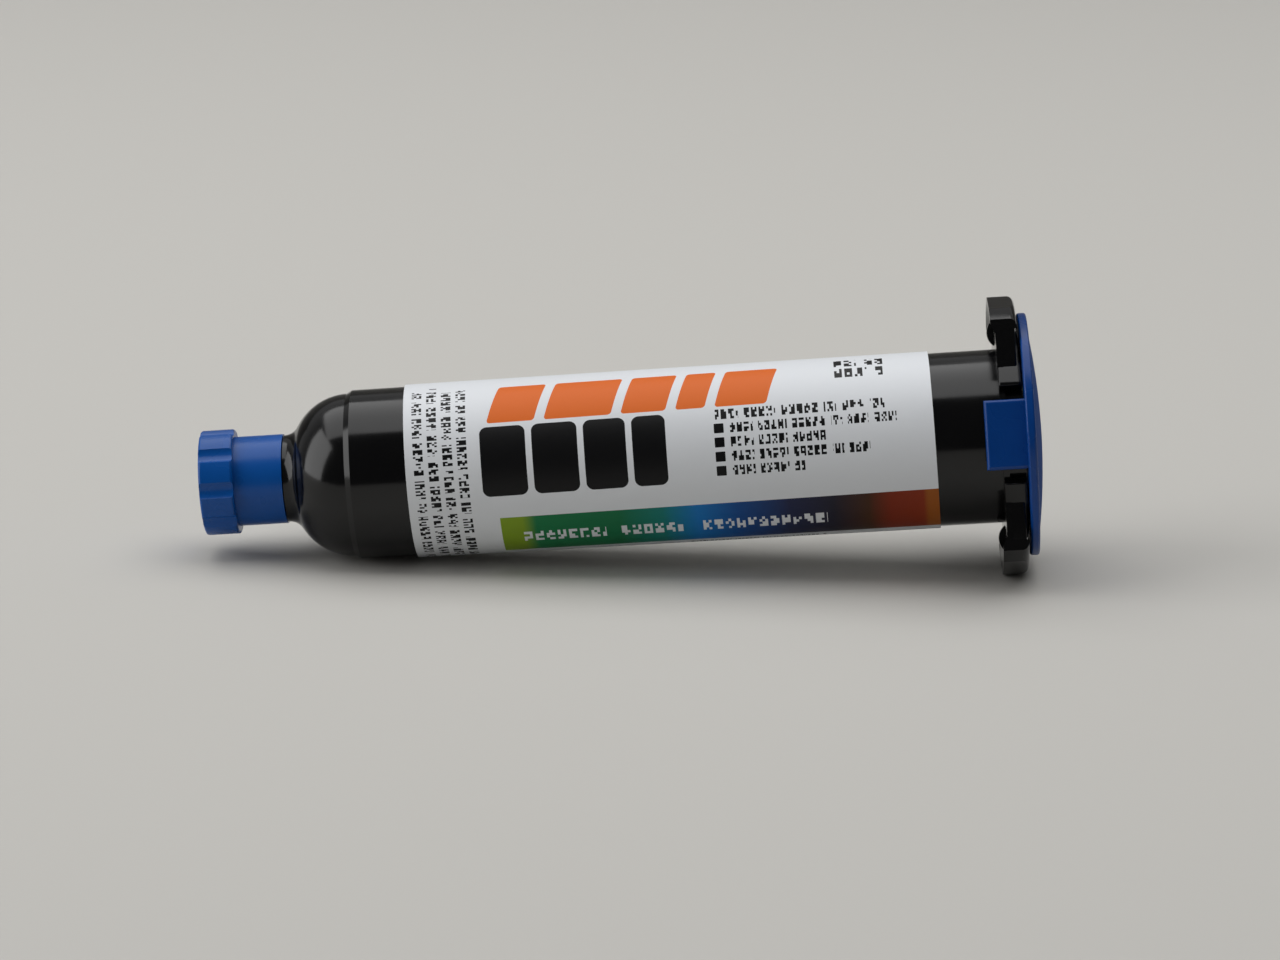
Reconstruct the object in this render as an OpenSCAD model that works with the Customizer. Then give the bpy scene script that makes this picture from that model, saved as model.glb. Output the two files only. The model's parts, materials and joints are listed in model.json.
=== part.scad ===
// Dispensing syringe barrel, filled with adhesive and closed for shipping.
// It lies on a level surface, on the front edge of its barrel and one flange wing.
// Sizes are in millimetres. Along the barrel, z is 0 at the front edge of the
// straight body, grows towards the flange and is negative towards the nozzle.

/* [Barrel] */
// Bore that the piston wipes
bore_d = 22.4; // [21.4:0.1:22.6]
// Outside diameter of the body where it meets the flange
body_d = 25; // [24.6:0.1:27]
// Outside diameter of the body at its front edge
front_d = 24.4; // [24.2:0.1:24.6]
// Length of the straight body, from its front edge to the flange web
body_len = 92.8; // [86:0.1:110]
// Diameter where the dome ends, just below the body's front edge
shoulder_d = 23.5; // [23.2:0.1:24]
// Length of the small cone between the dome and the body
shoulder_len = 0.8; // [0.5:0.1:1.5]
// Length of the domed front
dome_len = 8.1; // [7:0.1:10]
// Wall of the domed front
dome_wall = 1.15; // [0.9:0.05:1.4]
// Diameter of the neck between the dome and the tip cap
neck_d = 11.9; // [11.2:0.1:13]
// Length of the neck
neck_len = 1.4; // [0.8:0.1:2]
// Radius of the fillet between the dome and the neck
neck_fillet = 0.8; // [0.3:0.1:0.9]

/* [Nozzle] */
// Outside diameter of the locking collar
collar_d = 10.4; // [10.2:0.1:10.6]
// Inside diameter of the locking collar, over its thread
collar_bore_d = 8; // [7.8:0.1:8.4]
// Length of the locking collar in front of the neck
collar_len = 6; // [5:0.1:7]
// Depth of the collar's bore
collar_depth = 5.8; // [4.8:0.1:6.4]
// Diameter at the tip of the male luer cone
luer_tip_d = 3.94; // [3.9:0.01:4]
// How far the luer cone stands out of the collar
luer_reach = 2.1; // [1.5:0.1:2.4]
// Bore of the nozzle
nozzle_bore_d = 2.2; // [1.6:0.1:2.6]

/* [Flange] */
// Radius of the wings
wing_r = 20; // [18.6:0.1:22]
// Width of the wings
wing_w = 22.8; // [20:0.2:26]
// Diameter of the ring between the wings, which the end cap's clips hook over
hook_d = 27.2; // [26.6:0.1:28]
// Thickness of the web
web_t = 0.85; // [0.8:0.05:1.8]
// Wall of the rim along each wing's edge
rim_wall = 1.2; // [1.1:0.1:1.8]
// Length of the rim along the barrel
rim_len = 3.75; // [3:0.05:5]
// Radius of the rim's outer edge at the back
rim_round = 1; // [0.3:0.1:1]
// How far the rim stands in front of the web
rim_lip = 0.65; // [0.1:0.05:0.8]
// Width of that lip along its front edge
lip_w = 0.6; // [0.5:0.05:1]
// Width of that lip where it meets the web
lip_foot = 1.7; // [1:0.1:2]
// Outside diameter of the ring round the open end
mouth_d = 26; // [25.4:0.1:26.4]
// How far that ring stands behind the rim
mouth_lip = 0.25; // [0.2:0.05:1]
// Width of the flats that the wings rest on
rest_w = 7.2; // [6:0.2:9]
// Roll from the middle of a wing to such a flat
rest_roll = 15; // [12:1:18]
// Length of the detent bump on the front of each wing
bump_len = 3.8; // [3:0.1:4.6]
// Height of that bump
bump_h = 0.95; // [0.3:0.05:1.2]
// Width of that bump
bump_w = 2.4; // [1.6:0.1:4]
// Distance from the barrel's axis to the middle of that bump
bump_out = 14.8; // [14.6:0.1:16]

/* [Tip cap] */
// Diameter over the lobes of the grip head
head_d = 15.2; // [14.4:0.1:17]
// Length of the grip head
head_len = 4.9; // [4.4:0.1:7]
// Grooves round the head
head_grooves = 9; // [6:1:12]
// Radius of each groove
groove_r = 1.8; // [1:0.1:2.4]
// Depth of each groove
groove_depth = 0.5; // [0.2:0.1:0.7]
// Diameter of the skirt
skirt_d = 12.9; // [12.5:0.1:13.8]
// Length of the skirt that shows behind the head
skirt_len = 7; // [6.8:0.1:8]
// Outside diameter of the socket over the luer cone
socket_d = 6.6; // [6.2:0.1:6.8]
// Diameter over the two locking lugs
lug_d = 7.7; // [7.4:0.1:7.7]
// Width of each lug
lug_w = 1.8; // [1.2:0.1:2.4]
// Depth of the dish in the head's front face
dish_depth = 1.5; // [0.8:0.1:2]
// Diameter of that dish
dish_d = 9.4; // [7:0.1:10.5]

/* [End cap] */
// Diameter of the disc
disc_d = 34.9; // [32:0.1:37]
// Thickness of the disc at its rim
disc_t = 1.3; // [0.9:0.05:1.6]
// Height of the dome on the disc's back
back_rise = 1.3; // [0.3:0.1:1.6]
// Diameter of that dome
back_d = 31; // [26:0.5:31.5]
// Length of the plug in the bore
plug_len = 5; // [3:0.1:8]
// Wall of the plug
plug_wall = 1.2; // [0.9:0.1:1.8]
// Width of each clip
clip_w = 9.9; // [8:0.1:12]
// Thickness of each clip
clip_t = 1.3; // [1:0.1:1.6]
// How far each clip reaches in front of the web
clip_reach = 2.35; // [1.6:0.05:4]
// Radius of the clip's outer edges
clip_edge = 0.5; // [0.2:0.1:0.5]
// Height of the bead inside each clip's end
bead_h = 0.4; // [0.2:0.05:0.5]

/* [Piston and fill] */
// How far the piston stands back from the front of the bore
fill_len = 62.5; // [20:0.5:66]
// Length of the piston behind its nose
piston_len = 13; // [10:0.1:16]
// Length of each wiping lip
lip_len = 1.2; // [0.8:0.1:1.8]
// Depth of the waist between the lips
waist_depth = 0.5; // [0.3:0.1:0.9]
// Wall of the piston
piston_wall = 1.4; // [1:0.1:2]

/* [Label] */
// Distance from the body's front edge to the label
label_start = 8; // [2:0.1:14]
// Length of the label
label_len = 75.4; // [60:0.1:76]
// Thickness of the label film
label_t = 0.15; // [0.08:0.01:0.2]
// Angle that the label wraps round the body
label_wrap = 340; // [300:5:350]

/* [Clearances] */
// Between a wiping lip and the bore, on the radius
wipe_gap = 0.05; // [0.02:0.01:0.09]
// Between the piston's nose and the dome when it is pushed home
nose_gap = 0.35; // [0.3:0.05:0.5]
// Between the plug and the bore, on the radius
plug_gap = 0.06; // [0.03:0.01:0.1]
// Between the tip cap's socket and the luer cone, on the radius
luer_gap = 0.05; // [0.03:0.01:0.09]
// Between the tip cap's skirt and the collar, on the radius
skirt_gap = 0.25; // [0.15:0.05:0.3]
// Between the clips' beads and the ring that they hook over
bead_gap = 0.06; // [0.04:0.01:0.2]
// Between end faces that meet
seat_gap = 0.1; // [0.05:0.01:0.2]
// Inside the tip cap, in front of the collar and of the luer cone
front_gap = 0.4; // [0.2:0.05:0.6]
// Between the end of the tip cap's socket and the floor of the collar
socket_gap = 0.7; // [0.4:0.05:1]
// Between the fill and what holds it
fill_gap = 0.1; // [0.05:0.01:0.2]
// Under the label
glue_gap = 0.02; // [0.01:0.01:0.04]

/* [Hidden] */
$fn = 96;

// Stations along the barrel
dome_z = -shoulder_len;
neck_z = dome_z - dome_len;
collar_z = neck_z - neck_len;
collar_end_z = collar_z - collar_len;
collar_floor_z = collar_end_z + collar_depth;
luer_tip_z = collar_end_z - luer_reach;
web_z = body_len;
rim_z = web_z - rim_lip;
rim_end_z = rim_z + rim_len;
mouth_z = rim_end_z + mouth_lip;
disc_z = mouth_z + seat_gap;
disc_back_z = disc_z + disc_t;
skirt_z = collar_z - seat_gap;
head_z = skirt_z - skirt_len;
head_end_z = head_z - head_len;

// Arc of the dome, tangent to the shoulder and through the edge of the neck
dome_drop = (shoulder_d - neck_d) / 2;
dome_r = (dome_len * dome_len + dome_drop * dome_drop) / (2 * dome_drop);
dome_mid_r = shoulder_d / 2 - dome_r;
inner_dome_r = dome_r - dome_wall;
// Middle of the fillet's arc, which touches the neck and the dome
fillet_mid_r = neck_d / 2 + neck_fillet;
fillet_z = dome_z - sqrt(pow(dome_r + neck_fillet, 2) - pow(fillet_mid_r - dome_mid_r, 2));
// The cone inside, from the end of the inner dome to the bore
bore_cone_len = 1.8;

// The luer cone widens by 6 in 100 on its diameter
luer_taper = 0.03;

// Rest pose: the wing's flat and the body's front edge both touch the floor
rest_half_angle = asin(rest_w / 2 / wing_r);
rest_r = wing_r * cos(rest_half_angle);
pitch = atan2(rest_r - front_d / 2, rim_z);
lift = front_d / 2 * cos(pitch);
x_low = head_end_z * cos(pitch) - head_d / 2 * sin(pitch);
back_r = (back_d * back_d / 4 + back_rise * back_rise) / (2 * back_rise);
x_edge = disc_back_z * cos(pitch) + disc_d / 2 * sin(pitch);
x_dome = (disc_back_z + back_rise - back_r) * cos(pitch) + back_r;
shift = -(x_low + max(x_edge, x_dome)) / 2;

// Inside the tip cap
cap_roof_z = collar_end_z - front_gap;
socket_floor_z = luer_tip_z - front_gap;
socket_end_z = collar_floor_z - socket_gap;
lug_len = 1.2;
// Direction of the head's first groove
groove_turn = 39;
// Rounding of the tip cap's head and of the end cap's disc
edge_r = 0.4;
disc_edge = 0.3;
// Length of the flat top of each clip's bead
bead_land = 0.6;
// Lead-in at the open end of the bore and of the plug
lead_in = 0.4;
// A cut passes this far through a face
past = 1;
// Facets of a circle of which only a shallow arc shows
arc_fn = 360;

// Outside radius of the body at a station
function body_r(z) = front_d / 2 + (body_d - front_d) / 2 * z / body_len;
// Radius of the luer cone at a station
function luer_r(z) = luer_tip_d / 2 + luer_taper * (z - luer_tip_z);

// Lays a piece modelled along z into its place on the floor
module lay() {
    translate([shift, 0, lift])
        rotate([0, -pitch, 0])
            rotate([-rest_roll, 0, 0])
                rotate([0, 90, 0])
                    children();
}

// Half section of a round plate with rounded edges
module plate_section(r, z, h, edge) {
    translate([0, z]) square([r - edge, h]);
    translate([0, z + edge]) square([r, h - 2 * edge]);
    translate([r - edge, z + edge]) circle(r = edge);
    translate([r - edge, z + h - edge]) circle(r = edge);
}

// Half section of the room inside the barrel, drawn in from its walls
module bore_section(inset, z_end) {
    // nozzle
    translate([0, luer_tip_z - past + inset]) square([nozzle_bore_d / 2 - inset, past - luer_tip_z]);
    // dome
    difference() {
        translate([dome_mid_r, dome_z]) circle(r = inner_dome_r - inset);
        translate([-dome_r, dome_z]) square([3 * dome_r, dome_r]);
        translate([-dome_r, dome_z - dome_r]) square([dome_r, 2 * dome_r]);
    }
    translate([0, dome_z - inner_dome_r + inset]) square([dome_mid_r, inner_dome_r - inset]);
    // cone and bore
    polygon([
        [0, dome_z],
        [dome_mid_r + inner_dome_r - inset, dome_z],
        [bore_d / 2 - inset, dome_z + bore_cone_len],
        [bore_d / 2 - inset, z_end],
        [0, z_end]
    ]);
}

// Half section of the piston's nose, which follows the dome
module nose_section(inset, z_end) {
    intersection() {
        bore_section(inset, z_end);
        translate([0, dome_z - inner_dome_r]) square([bore_d, z_end - dome_z + inner_dome_r]);
    }
}

// Half section of the barrel's outside, from the neck to the open end
module barrel_section() {
    // dome
    intersection() {
        translate([dome_mid_r, dome_z]) circle(r = dome_r);
        translate([0, neck_z]) square([shoulder_d / 2, dome_len]);
    }
    // neck
    translate([0, collar_z]) square([neck_d / 2, -collar_z]);
    // fillet, whose arc touches the dome's at this share of the way between their middles
    touch = dome_r / (dome_r + neck_fillet);
    difference() {
        polygon([
            [0, fillet_z],
            [fillet_mid_r, fillet_z],
            [dome_mid_r + touch * (fillet_mid_r - dome_mid_r), dome_z + touch * (fillet_z - dome_z)],
            [0, dome_z]
        ]);
        translate([fillet_mid_r, fillet_z]) circle(r = neck_fillet);
    }
    // shoulder cone and body
    polygon([
        [0, dome_z],
        [shoulder_d / 2, dome_z],
        [front_d / 2, 0],
        [body_d / 2, web_z + web_t],
        [0, web_z + web_t]
    ]);
    // ring round the open end
    translate([0, web_z]) square([mouth_d / 2, mouth_z - web_z]);
}

module nozzle() {
    difference() {
        translate([0, 0, collar_end_z]) cylinder(d = collar_d, h = collar_len + neck_len / 2);
        translate([0, 0, collar_end_z - past]) cylinder(d = collar_bore_d, h = collar_depth + past);
    }
    luer_h = collar_floor_z - luer_tip_z + neck_len / 2;
    translate([0, 0, luer_tip_z])
        cylinder(r1 = luer_r(luer_tip_z), r2 = luer_r(luer_tip_z + luer_h), h = luer_h);
}

// Sides of the two wings, with the small flats that they rest on
module wing_sides() {
    difference() {
        square([2 * (wing_r + past), wing_w], center = true);
        for (side = [0, 180], turn = [-rest_roll, rest_roll])
            rotate(side + turn)
                translate([rest_r, -wing_r]) square(2 * wing_r);
    }
}

// Half section of the rim
module rim_section() {
    // tapered lip in front of the web
    polygon([
        [wing_r - lip_w, rim_z],
        [wing_r, rim_z],
        [wing_r, web_z + web_t / 2],
        [wing_r - lip_foot, web_z + web_t / 2],
        [wing_r - lip_foot, web_z]
    ]);
    // rim, rounded at the back
    translate([wing_r - rim_wall, web_z]) square([rim_wall, rim_end_z - rim_round - web_z]);
    translate([wing_r - rim_wall, web_z]) square([rim_wall - rim_round, rim_end_z - web_z]);
    intersection() {
        translate([wing_r - rim_round, rim_end_z - rim_round]) circle(r = rim_round);
        translate([wing_r - rim_round, rim_end_z - rim_round]) square(rim_round);
    }
}

module flange() {
    // web of the wings, and the ring between them
    translate([0, 0, web_z])
        linear_extrude(web_t) {
            intersection() {
                circle(r = wing_r);
                wing_sides();
            }
            circle(d = hook_d);
        }
    // rim along the edge of each wing
    intersection() {
        rotate_extrude() rim_section();
        translate([0, 0, rim_z - past]) linear_extrude(rim_len + 2 * past) wing_sides();
    }
    // detent bump on the front of each wing
    bump_r = (bump_len * bump_len / 4 + bump_h * bump_h) / (2 * bump_h);
    for (side = [0, 180])
        rotate(side)
            translate([bump_out, 0, web_z])
                intersection() {
                    translate([0, 0, bump_r - bump_h])
                        rotate([90, 0, 0]) cylinder(r = bump_r, h = bump_w, center = true);
                    translate([-bump_len / 2, -bump_w / 2, -bump_h])
                        cube([bump_len, bump_w, bump_h + web_t / 2]);
                }
}

module barrel() {
    color("#151517")
        lay()
            difference() {
                union() {
                    rotate_extrude() barrel_section();
                    nozzle();
                    flange();
                }
                rotate_extrude() bore_section(0, mouth_z + past);
                translate([0, 0, mouth_z - lead_in])
                    cylinder(r1 = bore_d / 2, r2 = bore_d / 2 + lead_in, h = lead_in);
            }
}

// Grip head and skirt, closed at the front
module tip_cap_outside() {
    difference() {
        rotate_extrude() plate_section(head_d / 2, head_end_z, head_len, edge_r);
        for (i = [0:head_grooves - 1])
            rotate(groove_turn + 360 / head_grooves * i)
                translate([head_d / 2 + groove_r - groove_depth, 0, head_end_z - past])
                    cylinder(r = groove_r, h = head_len + 2 * past);
    }
    translate([0, 0, head_z - head_len / 2])
        cylinder(d = skirt_d, h = skirt_len + head_len / 2);
}

// Socket that seals on the luer cone, with the two lugs that lock in the collar's thread
module socket() {
    translate([0, 0, cap_roof_z - past]) cylinder(d = socket_d, h = socket_end_z - cap_roof_z + past);
    intersection() {
        translate([0, 0, socket_end_z - lug_len]) cylinder(d = lug_d, h = lug_len);
        translate([-lug_d / 2, -lug_w / 2, socket_end_z - lug_len]) cube([lug_d, lug_w, lug_len]);
    }
}

module tip_cap() {
    socket_bore_h = socket_end_z - socket_floor_z;
    color("#1a4a86")
        lay()
            difference() {
                union() {
                    difference() {
                        tip_cap_outside();
                        translate([0, 0, cap_roof_z])
                            cylinder(d = collar_d + 2 * skirt_gap, h = skirt_z - cap_roof_z + past);
                    }
                    socket();
                }
                // bore of the socket
                translate([0, 0, socket_floor_z])
                    cylinder(
                        r1 = luer_r(socket_floor_z) + luer_gap,
                        r2 = luer_r(socket_end_z) + luer_gap,
                        h = socket_bore_h
                    );
                // dish in the front face
                translate([0, 0, head_end_z - past]) cylinder(d = dish_d, h = dish_depth + past);
            }
}

// Section of a clip across the barrel, with its two outer edges rounded
module clip_section(inner) {
    translate([-clip_w / 2, inner]) square([clip_w, clip_t - clip_edge]);
    translate([clip_edge - clip_w / 2, inner]) square([clip_w - 2 * clip_edge, clip_t]);
    for (side = [-1, 1])
        translate([side * (clip_w / 2 - clip_edge), inner + clip_t - clip_edge]) circle(r = clip_edge);
}

// Section of a clip along the barrel, with its outer front edge rounded
module clip_profile(inner, tip_z) {
    back_z = disc_z + disc_t / 2;
    translate([inner, tip_z]) square([clip_t - clip_edge, back_z - tip_z]);
    translate([inner, tip_z + clip_edge]) square([clip_t, back_z - tip_z - clip_edge]);
    translate([inner + clip_t - clip_edge, tip_z + clip_edge]) circle(r = clip_edge);
    // bead inside the end, in front of the web
    bead_z = web_z - seat_gap;
    polygon([
        [inner + clip_t / 2, bead_z],
        [inner - bead_h, bead_z],
        [inner - bead_h, bead_z - bead_land],
        [inner, tip_z + clip_edge],
        [inner + clip_t / 2, tip_z + clip_edge]
    ]);
}

// One clip, on the side towards +y
module clip() {
    inner = hook_d / 2 + bead_gap + bead_h;
    tip_z = web_z - clip_reach;
    intersection() {
        rotate([90, 0, 90]) linear_extrude(clip_w, center = true) clip_profile(inner, tip_z);
        translate([0, 0, tip_z])
            linear_extrude(disc_z + disc_t - tip_z) {
                clip_section(inner);
                translate([-clip_w / 2, inner - bead_h]) square([clip_w, bead_h + clip_t / 2]);
            }
    }
}

module end_cap_section() {
    plug_r = bore_d / 2 - plug_gap;
    plug_z = disc_z - plug_len;
    plate_section(disc_d / 2, disc_z, disc_t, disc_edge);
    // dome on the back
    intersection() {
        translate([0, disc_back_z + back_rise - back_r]) circle(r = back_r, $fn = arc_fn);
        translate([0, disc_z + disc_t / 2]) square([back_d / 2, disc_t + back_rise]);
    }
    // plug, with a lead-in round its end
    polygon([
        [plug_r - plug_wall, disc_z + disc_t / 2],
        [plug_r - plug_wall, plug_z],
        [plug_r - lead_in, plug_z],
        [plug_r, plug_z + lead_in],
        [plug_r, disc_z + disc_t / 2]
    ]);
}

module end_cap() {
    color("#1a4a86")
        lay() {
            rotate_extrude() end_cap_section();
            clip();
            mirror([0, 1, 0]) clip();
        }
}

// Wiping piston, hollow behind its domed nose
module piston() {
    lip_r = bore_d / 2 - wipe_gap;
    lip_z = dome_z + bore_cone_len + nose_gap;
    end_z = lip_z + piston_len;
    color("#e8e6df")
        lay()
            translate([0, 0, fill_len])
                rotate_extrude()
                    difference() {
                        union() {
                            nose_section(nose_gap, lip_z);
                            translate([0, lip_z]) square([lip_r - waist_depth, piston_len]);
                            translate([0, lip_z]) square([lip_r, lip_len]);
                            translate([0, end_z - lip_len]) square([lip_r, lip_len]);
                        }
                        nose_section(nose_gap + piston_wall, lip_z);
                        translate([0, lip_z - past])
                            square([lip_r - waist_depth - piston_wall, piston_len + 2 * past]);
                    }
}

// The fill, from the nozzle to the piston's nose
module adhesive() {
    color("#d9c07a")
        lay()
            rotate_extrude()
                difference() {
                    intersection() {
                        bore_section(fill_gap, fill_len);
                        translate([0, luer_tip_z + fill_gap]) square([bore_d, fill_len + bore_d - luer_tip_z]);
                    }
                    translate([0, fill_len]) nose_section(nose_gap - fill_gap, past);
                }
}

module label() {
    inner = glue_gap;
    outer = glue_gap + label_t;
    end = label_start + label_len;
    color("#e9ebee")
        lay()
            rotate(90 + (360 - label_wrap) / 2)
                rotate_extrude(angle = label_wrap)
                    polygon([
                        [body_r(label_start) + inner, label_start],
                        [body_r(label_start) + outer, label_start],
                        [body_r(end) + outer, end],
                        [body_r(end) + inner, end]
                    ]);
}

barrel();
tip_cap();
end_cap();
piston();
adhesive();
label();
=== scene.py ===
"""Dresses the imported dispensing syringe: moulded plastics, wrap label, fill, and a pale studio."""

import json
import math

import bmesh
import bpy
from bpy.props import FloatProperty, FloatVectorProperty, IntProperty, PointerProperty
from mathutils import Matrix, Vector


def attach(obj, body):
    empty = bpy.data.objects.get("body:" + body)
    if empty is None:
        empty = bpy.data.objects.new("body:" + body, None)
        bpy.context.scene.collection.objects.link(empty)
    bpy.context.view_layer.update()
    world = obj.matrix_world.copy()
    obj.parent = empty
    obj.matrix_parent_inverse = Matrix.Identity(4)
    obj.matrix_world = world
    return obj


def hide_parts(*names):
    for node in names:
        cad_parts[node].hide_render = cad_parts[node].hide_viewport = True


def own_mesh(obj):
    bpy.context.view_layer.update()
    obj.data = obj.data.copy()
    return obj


bl_info = {
    "name": "Dispensing Syringe Looks",
    "version": (1, 0, 0),
    "blender": (4, 5, 0),
    "location": "3D View > Sidebar > Syringe",
    "description": "Finishes, label print and studio for a capped dispensing syringe",
    "category": "Object",
}

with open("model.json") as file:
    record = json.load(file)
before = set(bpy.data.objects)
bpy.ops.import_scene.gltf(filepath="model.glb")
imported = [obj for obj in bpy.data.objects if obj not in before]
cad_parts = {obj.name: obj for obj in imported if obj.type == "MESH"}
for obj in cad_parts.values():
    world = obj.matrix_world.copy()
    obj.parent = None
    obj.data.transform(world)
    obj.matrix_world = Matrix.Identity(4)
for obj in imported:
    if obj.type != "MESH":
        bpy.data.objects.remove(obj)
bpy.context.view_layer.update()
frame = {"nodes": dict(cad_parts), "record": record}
NODES = frame["nodes"]
MM = 0.001
# Faces that meet at less than this many degrees are shaded as one smooth surface.
SMOOTH_BELOW = 35
# Faces round a turned piece, and how close its vertices may lie before they become one.
TURNED_STEPS = 96
WELD = 0.001 * MM


def steps(name, description, count):
    """A property for the number of faces along a curve."""
    return IntProperty(name=name, description=description, default=count, min=2)


def linear(code):
    """An sRGB hex colour as the linear values that sockets take."""
    parts = [int(code[i:i + 2], 16) / 255 for i in (1, 3, 5)]
    return tuple(c / 12.92 if c <= 0.04045 else ((c + 0.055) / 1.055) ** 2.4 for c in parts)


def colour(name, description, code):
    """A colour property whose default is an sRGB hex colour."""
    return FloatVectorProperty(
        name=name, description=description, subtype="COLOR", size=3, min=0, max=1, default=linear(code),
    )


def length(name, description, millimetres):
    """A length property whose default is given in millimetres."""
    return FloatProperty(
        name=name, description=description, subtype="DISTANCE", unit="LENGTH", default=millimetres * MM,
    )


def angle(name, description, degrees):
    """An angle property whose default is given in degrees."""
    return FloatProperty(
        name=name, description=description, subtype="ANGLE", unit="ROTATION",
        default=math.radians(degrees),
    )


class SyringeColours(bpy.types.PropertyGroup):
    barrel: colour("Barrel", "Carbon-black polypropylene of the barrel", "#070708")
    tip_cap: colour("Tip cap", "Blue polyethylene of the tip cap", "#034b97")
    end_cap: colour("End cap", "Blue polyethylene of the end cap, a darker batch", "#013a80")
    piston: colour("Piston", "Natural polyethylene of the piston", "#e9e7df")
    fill: colour("Fill", "Clear amber adhesive", "#d9b878")
    film: colour("Label film", "White face of the label", "#dde0e4")
    black_ink: colour("Black ink", "Ink of the bars and the small print", "#060608")
    orange_ink: colour("Orange ink", "Ink of the slanted blocks", "#d8640c")
    floor: colour("Floor", "Pale studio paper", "#c1bfba")


class SyringeLabel(bpy.types.PropertyGroup):
    wrap: angle("Wrap", "How far the label reaches round the barrel", 340)
    skew: angle("Skew", "How far out of square the label was laid on", 0.7)
    front_roll: angle("Front", "Height of the label's middle above the horizontal, round the barrel", 15)
    film: length("Film", "Thickness of the label film", 0.12)
    steps_round: steps("Steps round", "Faces round the barrel", 240)
    steps_along: steps("Steps along", "Faces along the barrel", 24)


class SyringeWings(bpy.types.PropertyGroup):
    root_radius: length("Root radius", "Outer radius of the roots, which thicken the wings' feet", 14.9)
    root_depth: length("Root depth", "How far the roots reach in, into the ring between the wings", 2)
    root_length: length("Root length", "Length of the roots, from the web to the mouth", 3.35)
    root_angle: angle("Root angle", "How far each root reaches round the barrel", 124)
    root_steps: steps("Root steps", "Faces along each root", 48)
    wall_out: length("Wall", "From the barrel's axis to the outside of the walls along the wings", 11.35)
    wall_thickness: length("Wall thickness", "Thickness of those walls", 1.1)
    wall_length: length("Wall length", "Length of the walls, from the web towards the mouth", 2.75)
    wall_low: length("Wall foot", "From the barrel's axis to the foot of the walls", 8.8)
    wall_high: length("Wall top", "From the barrel's axis to the top of the walls, inside the rim", 15.8)
    root_inset: length("Root inset", "From the web's front face to the front of the roots", 0.03)
    wall_inset: length("Wall inset", "From the web's front face to the front of the walls", 0.05)
    mouth_inset: length("Mouth inset", "From the back of the roots to the mouth", 0.05)
    round: length("Edge", "Rounding of the outer edges", 0.2)
    round_from: angle("Edge from", "Edges that turn by more than this are rounded", 60)
    round_steps: steps("Edge steps", "Faces across each rounded edge", 3)


class SyringeNeck(bpy.types.PropertyGroup):
    radius: length("Neck", "Radius of the neck where the blend leaves it", 6.25)
    depth: length("Depth", "How far the blend reaches into the neck", 0.6)
    blend: length("Blend", "Radius of the hollow blend from the neck to the dome", 2.5)
    start: length("Start", "From the nozzle's tip to the blend's front, clear of the tip cap's skirt", 8.15)
    dome_station: length("Dome station", "From the nozzle's tip to the dome's widest circle", 17.6)
    dome_middle: length("Dome middle", "From the barrel's axis to the middle of the dome's arc", 3.194)
    dome_radius: length("Dome radius", "Radius of the dome's arc", 8.556)
    arc_steps: steps("Arc steps", "Faces along the blend's arc", 16)


class SyringeThread(bpy.types.PropertyGroup):
    first: length("First", "From the nozzle's tip to where the ridges start", 2.5)
    last: length("Last", "From the nozzle's tip to where the ridges end", 5.5)
    lead: length("Lead", "Travel of one turn of the locking thread", 5)
    height: length("Height", "How far the ridge stands in from the collar's bore", 0.45)
    depth: length("Depth", "How far the ridge reaches into the collar's wall", 0.1)
    root: length("Root", "Width of the ridge at the collar's bore", 1.0)
    crest: length("Crest", "Width of the ridge at its crest", 0.35)
    bore: length("Bore", "Radius of the collar's bore", 4)
    starts: IntProperty(name="Starts", description="Ridges side by side", default=2, min=1)
    turn_steps: steps("Turn steps", "Faces along each ridge", 64)


class SyringeStudio(bpy.types.PropertyGroup):
    azimuth: angle("Azimuth", "Turn of the camera round the syringe", 1.2)
    elevation: angle("Elevation", "Height of the camera above the horizon", 15)
    roll: angle("Roll", "Turn of the camera about its own view", 0.75)
    distance: length("Distance", "From the camera to the point it looks at", 750)
    aim_along: length("Aim along", "From the nozzle's tip to the point it looks at, along the barrel", 59.4)
    aim_drop: length("Aim drop", "How far that point lies below the barrel's axis", 3.4)
    sensor: FloatProperty(name="Sensor", description="Its width", unit="CAMERA", default=36, min=1)
    focal: FloatProperty(
        name="Focal length", description="For a sensor as wide as that", unit="CAMERA", default=145.9, min=1,
    )
    top_height: length("Top softbox height", "Height of the softbox over the syringe", 900)
    top_width: length("Top softbox width", "Width of it along the syringe", 1460)
    top_depth: length("Top softbox depth", "Depth of it across the syringe", 1065)
    top_back: length("Top softbox set-back", "How far its middle stands behind the syringe", 222)
    top_radiance: FloatProperty(name="Top softbox radiance", description="Brightness of it", default=1.86)
    side_turn: angle("Side softbox turn", "How far in front of the syringe's end it stands", 15)
    side_rise: angle("Side softbox rise", "Height of its middle above the horizon", 25)
    side_distance: length("Side softbox distance", "From the syringe to its middle", 1800)
    side_width: length("Side softbox width", "Width of the side softbox", 1454)
    side_height: length("Side softbox height", "Height of the side softbox", 1660)
    side_radiance: FloatProperty(name="Side softbox radiance", description="Brightness of it", default=2.6)
    room_front: FloatProperty(name="Room in front", description="Its light behind the camera", default=0.06)
    room_back: FloatProperty(name="Room behind", description="Its light above the paper", default=0.33)
    paper_width: length("Paper width", "Width of the floor's paper", 6000)
    paper_front: length("Paper front", "How far the paper comes forward", 3000)
    paper_back: length("Paper back", "Distance behind the syringe at which the paper sweeps up", 1500)
    paper_sweep: length("Paper sweep", "Radius of that sweep", 900)
    paper_steps: steps("Paper steps", "Faces along that sweep", 24)
    paper_rise: length("Paper rise", "How far the paper goes on up above the sweep", 400)


def mount(name):
    """Where the record puts a mount."""
    return next(Vector(m["pos_m"]) for m in frame["record"]["mounts"] if m["name"] == name)


TIP = mount("nozzle")
AXIS = (mount("flange") - TIP).normalized()


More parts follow.
